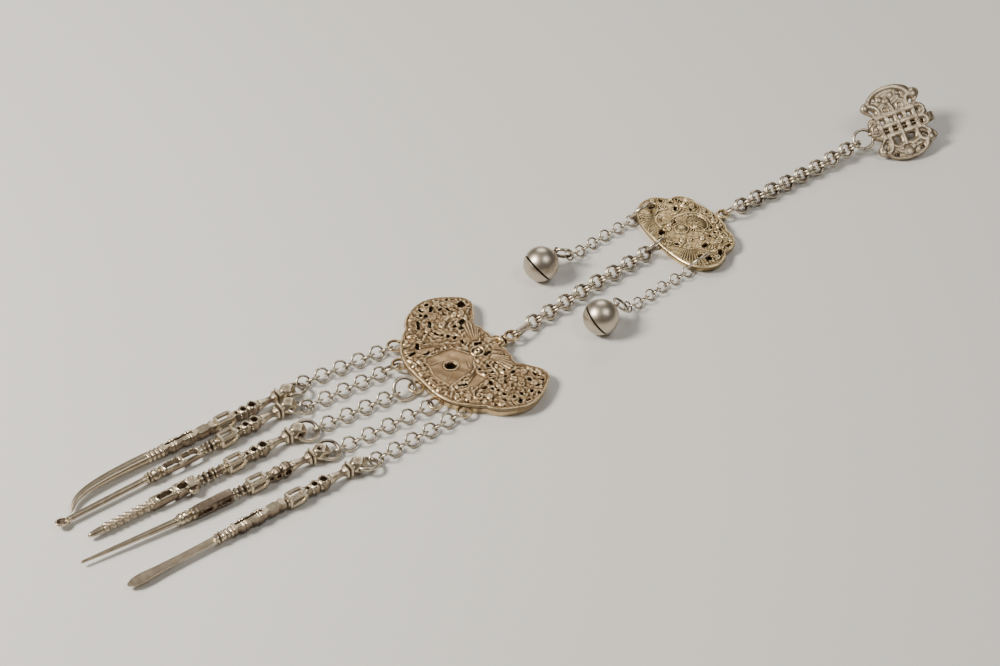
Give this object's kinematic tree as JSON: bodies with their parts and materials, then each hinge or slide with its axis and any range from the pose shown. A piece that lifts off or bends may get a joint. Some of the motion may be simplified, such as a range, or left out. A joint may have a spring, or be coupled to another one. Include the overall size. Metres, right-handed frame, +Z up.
{
  "type": "chatelaine",
  "caption": "Pierced silver chatelaine: a hooked belt clip and two openwork plaques on chains, with small bells and slender grooming tools hung from rings.",
  "frame": {"origin": "centre of the footprint, on the surface the piece lies on", "axes": "+X along the piece towards the belt clip, +Z up out of the surface, the faces of the plaques upwards"},
  "size_m": [0.3836, 0.0686, 0.0185],
  "materials": {
    "cast_silver": "cast and pierced silver, tarnished in the recesses, worn bright on the edges",
    "warm_silver": "pierced silver with a warm golden tarnish",
    "link_silver": "drawn silver wire, lightly tarnished",
    "bell_silver": "smooth silver with a soft handled shine",
    "tool_silver": "filed and turned silver, dark in the grooves"
  },
  "bodies": {
    "root": {"clip_plate": "cast_silver", "clip_ring": "link_silver", "upper_chain": "link_silver", "upper_jump_ring": "link_silver", "mid_plaque": "warm_silver", "bell_ring_far": "link_silver", "bell_ring_near": "link_silver", "bell_chain_far": "link_silver", "bell_chain_near": "link_silver", "bell_loop_far": "link_silver", "bell_loop_near": "link_silver", "bell_far": "bell_silver", "bell_near": "bell_silver", "mid_lower_ring": "link_silver", "lower_chain": "link_silver", "oblong_link": "link_silver", "large_plaque": "cast_silver", "plaque_ring_2": "link_silver", "plaque_ring_3": "link_silver", "tool_chain_1": "link_silver", "tool_chain_2": "link_silver", "tool_chain_3": "link_silver", "tool_chain_4": "link_silver", "tool_chain_5": "link_silver", "tool_ring_1": "link_silver", "tool_ring_2": "link_silver", "tool_ring_3": "link_silver", "tool_ring_4": "link_silver", "tool_ring_5": "link_silver", "curved_pick": "tool_silver", "ear_spoon": "tool_silver", "serrated_file": "tool_silver", "needle_pick": "tool_silver", "spear_spatula": "tool_silver"}
  },
  "joints": []
}
